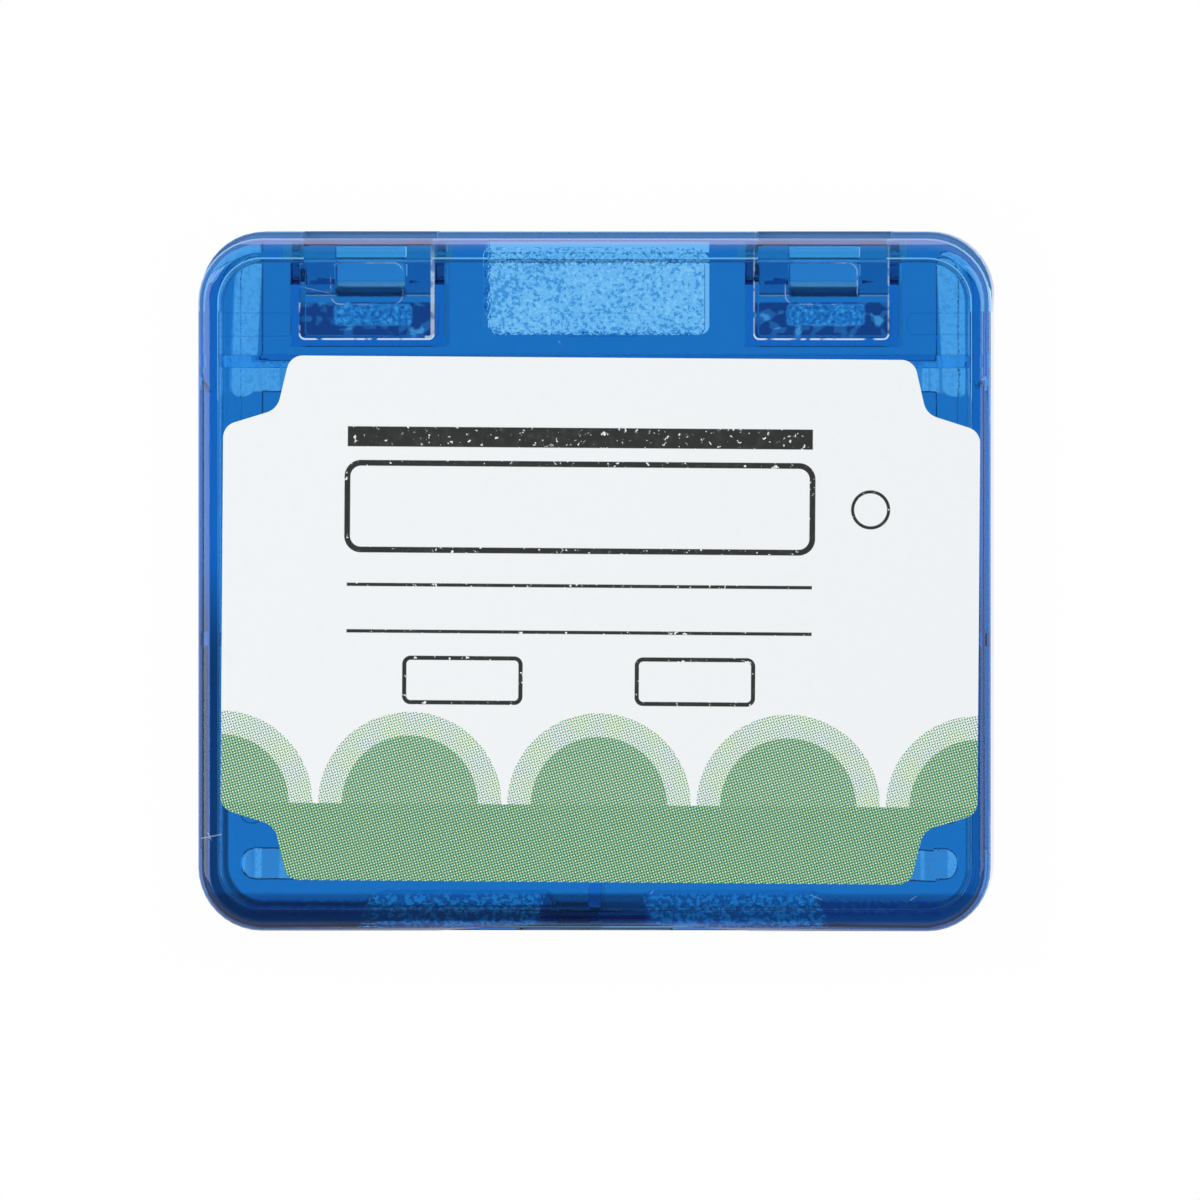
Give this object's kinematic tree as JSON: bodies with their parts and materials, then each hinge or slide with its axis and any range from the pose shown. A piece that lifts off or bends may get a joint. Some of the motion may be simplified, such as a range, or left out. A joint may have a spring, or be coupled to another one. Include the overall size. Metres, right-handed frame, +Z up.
{
  "type": "orthodontic buccal tube case",
  "caption": "Flat hinged snap-shut case of clear blue plastic with inner compartments and a stepped-corner paper label on its lid, for small dental parts.",
  "frame": {"origin": "centre of the case's outline, on the surface it rests on", "axes": "+X to the right and +Y to the hinge at the rear, as seen from above; +Z up out of the lid"},
  "size_m": [0.075, 0.0662, 0.0163],
  "materials": {
    "base_plastic": "clear deep blue polystyrene, textured underside",
    "lid_plastic": "clear blue polystyrene, glossy, lightly scratched",
    "label_paper": "coated white paper with green printed fields"
  },
  "bodies": {
    "base": {"base": "base_plastic"},
    "lid": {"lid": "lid_plastic", "label": "label_paper"}
  },
  "joints": [
    {"name": "lid_hinge", "type": "hinge", "parent": "base", "child": "lid", "pos_m": [0, 0.02945, 0.0065], "axis": [-1, 0, 0], "range_deg": [0, 110]}
  ]
}
